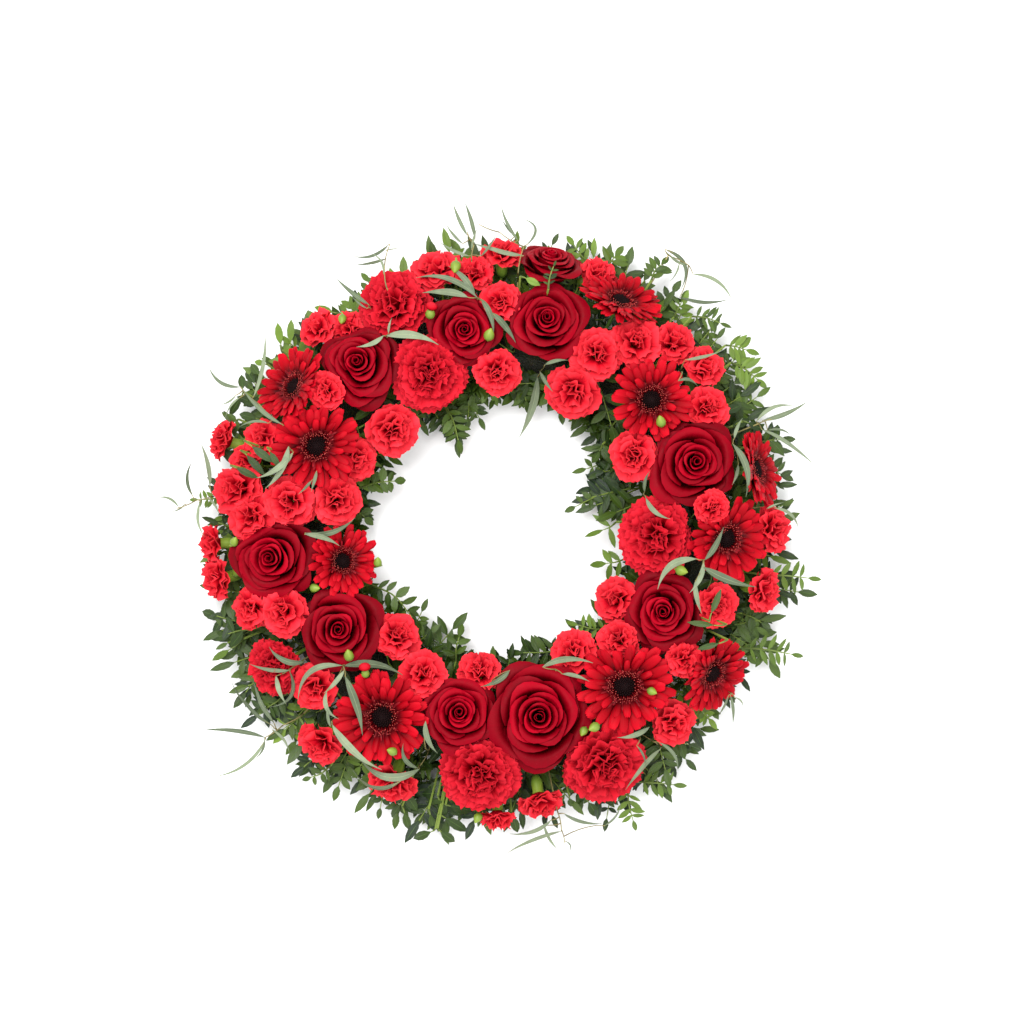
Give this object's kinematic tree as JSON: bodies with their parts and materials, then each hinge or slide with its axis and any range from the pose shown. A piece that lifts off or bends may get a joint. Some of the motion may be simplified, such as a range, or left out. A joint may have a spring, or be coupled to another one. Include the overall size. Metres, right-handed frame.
{
  "type": "funeral wreath",
  "caption": "Round funeral wreath of red roses, gerberas and carnations with pistacia and eucalyptus leaves on a padded ring, lying flat on its back.",
  "frame": {"origin": "middle of the wreath's flat underside, on the axis of its ring", "axes": "+Z out of the front of the wreath, which lies on its back; +Y towards its top and +X to its right as the front is looked at"},
  "size_m": [0.5656, 0.563, 0.1059],
  "materials": {
    "rose_petal": "velvety fresh petal, deep crimson with darker folds",
    "gerbera_petal": "satin fresh petal, scarlet, darker towards the disc",
    "carnation_petal": "matt fresh petal, bright coral red, frilled",
    "pistacia_leaf": "waxy leaf, dark green with yellow-green shoots",
    "eucalyptus_leaf": "matt leaf, grey green with a pale bloom",
    "ring_padding": "moss green padding wound round a ring"
  },
  "bodies": {
    "root": {"carnation_01": "carnation_petal", "carnation_02": "carnation_petal", "carnation_03": "carnation_petal", "carnation_04": "carnation_petal", "carnation_05": "carnation_petal", "carnation_06": "carnation_petal", "eucalyptus_01": "eucalyptus_leaf", "eucalyptus_02": "eucalyptus_leaf", "eucalyptus_03": "eucalyptus_leaf", "eucalyptus_04": "eucalyptus_leaf", "eucalyptus_05": "eucalyptus_leaf", "gerbera_01": "gerbera_petal", "gerbera_02": "gerbera_petal", "gerbera_03": "gerbera_petal", "gerbera_04": "gerbera_petal", "gerbera_05": "gerbera_petal", "gerbera_06": "gerbera_petal", "gerbera_07": "gerbera_petal", "gerbera_08": "gerbera_petal", "gerbera_09": "gerbera_petal", "gerbera_10": "gerbera_petal", "pistacia_01": "pistacia_leaf", "pistacia_02": "pistacia_leaf", "pistacia_03": "pistacia_leaf", "pistacia_04": "pistacia_leaf", "pistacia_05": "pistacia_leaf", "pistacia_06": "pistacia_leaf", "pistacia_07": "pistacia_leaf", "pistacia_08": "pistacia_leaf", "pistacia_09": "pistacia_leaf", "rose_01": "rose_petal", "rose_02": "rose_petal", "rose_03": "rose_petal", "rose_04": "rose_petal", "rose_05": "rose_petal", "rose_06": "rose_petal", "rose_07": "rose_petal", "rose_08": "rose_petal", "rose_09": "rose_petal", "rose_10": "rose_petal", "spray_carnation_01": "carnation_petal", "spray_carnation_02": "carnation_petal", "spray_carnation_03": "carnation_petal", "spray_carnation_04": "carnation_petal", "spray_carnation_05": "carnation_petal", "spray_carnation_06": "carnation_petal", "spray_carnation_07": "carnation_petal", "spray_carnation_08": "carnation_petal", "spray_carnation_09": "carnation_petal", "spray_carnation_10": "carnation_petal", "spray_carnation_11": "carnation_petal", "spray_carnation_12": "carnation_petal", "spray_carnation_13": "carnation_petal", "spray_carnation_14": "carnation_petal", "spray_carnation_15": "carnation_petal", "spray_carnation_16": "carnation_petal", "spray_carnation_17": "carnation_petal", "spray_carnation_18": "carnation_petal", "spray_carnation_19": "carnation_petal", "wreath_ring": "ring_padding"}
  },
  "joints": []
}
